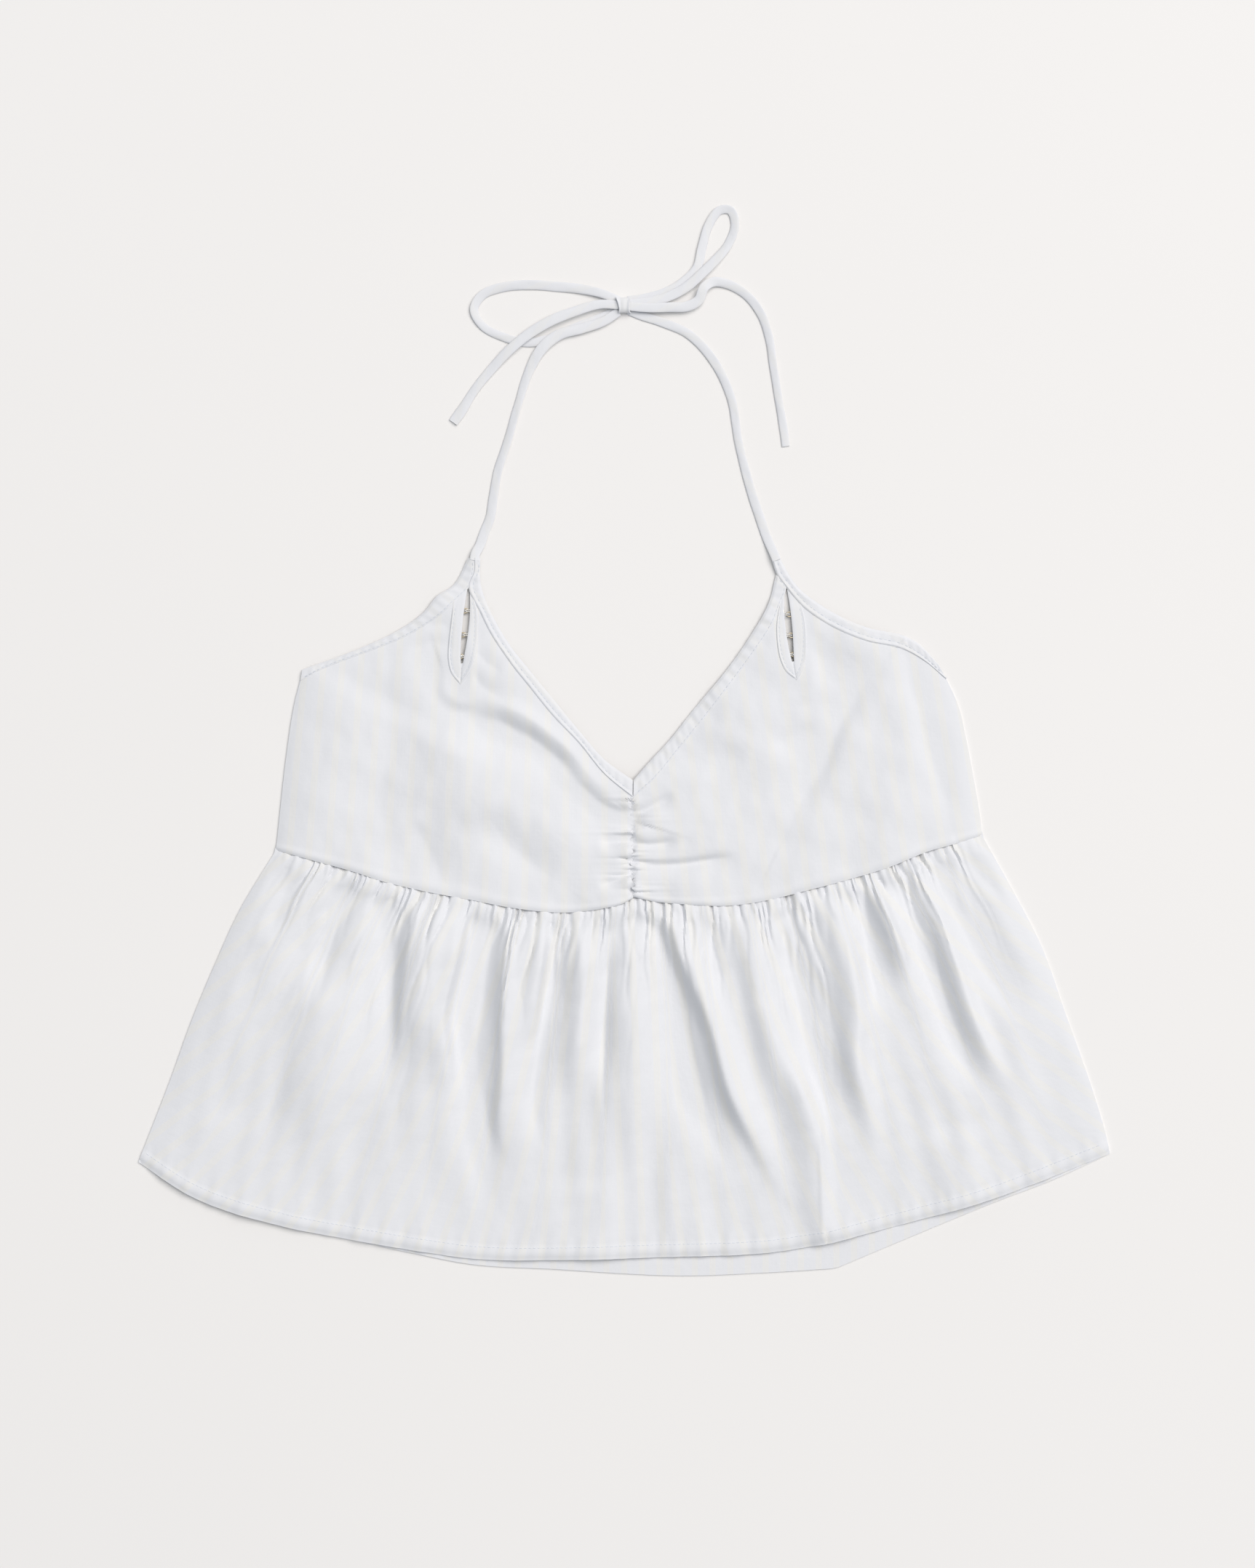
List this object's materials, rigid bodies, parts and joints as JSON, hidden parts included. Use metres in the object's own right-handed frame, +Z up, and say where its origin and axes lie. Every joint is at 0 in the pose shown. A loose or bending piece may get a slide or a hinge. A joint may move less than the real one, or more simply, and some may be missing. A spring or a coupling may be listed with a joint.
{
  "type": "halter neck top",
  "caption": "Striped cotton halter neck top laid flat: ruched V bodice, keyhole slits with hooks, gathered peplum, and neck tapes tied in a bow",
  "frame": {"origin": "on the surface under the middle of the garment, measured without its tapes", "axes": "X runs across the top along its hem, Y from the hem to the neck, Z up from the surface"},
  "size_m": [0.554, 0.6118, 0.015],
  "materials": {
    "striped_cotton": "woven cotton, pale blue with narrow cream stripes",
    "bias_binding": "the same cotton, folded double and topstitched",
    "tie_tape": "the same cotton, folded into a narrow tape and edge stitched",
    "hook_wire": "bright wire",
    "eye_wire": "pale gold wire"
  },
  "bodies": {
    "root": {"front_bodice_left": "striped_cotton", "front_bodice_right": "striped_cotton", "front_peplum": "striped_cotton", "back_bodice": "striped_cotton", "back_peplum_left": "striped_cotton", "back_peplum_right": "striped_cotton", "armhole_band_left": "bias_binding", "armhole_band_right": "bias_binding", "neck_band_left": "bias_binding", "neck_band_right": "bias_binding", "keyhole_placket_left": "bias_binding", "keyhole_placket_right": "bias_binding", "tie_left_strap": "tie_tape", "tie_right_strap": "tie_tape", "bow_loop_left": "tie_tape", "bow_loop_right": "tie_tape", "bow_tail_left": "tie_tape", "bow_tail_right": "tie_tape", "bow_knot": "tie_tape", "hook_left_1": "hook_wire", "hook_left_2": "hook_wire", "hook_left_3": "hook_wire", "hook_right_1": "hook_wire", "hook_right_2": "hook_wire", "hook_right_3": "hook_wire", "eye_left_1": "eye_wire", "eye_left_2": "eye_wire", "eye_left_3": "eye_wire", "eye_right_1": "eye_wire", "eye_right_2": "eye_wire", "eye_right_3": "eye_wire"}
  },
  "joints": []
}
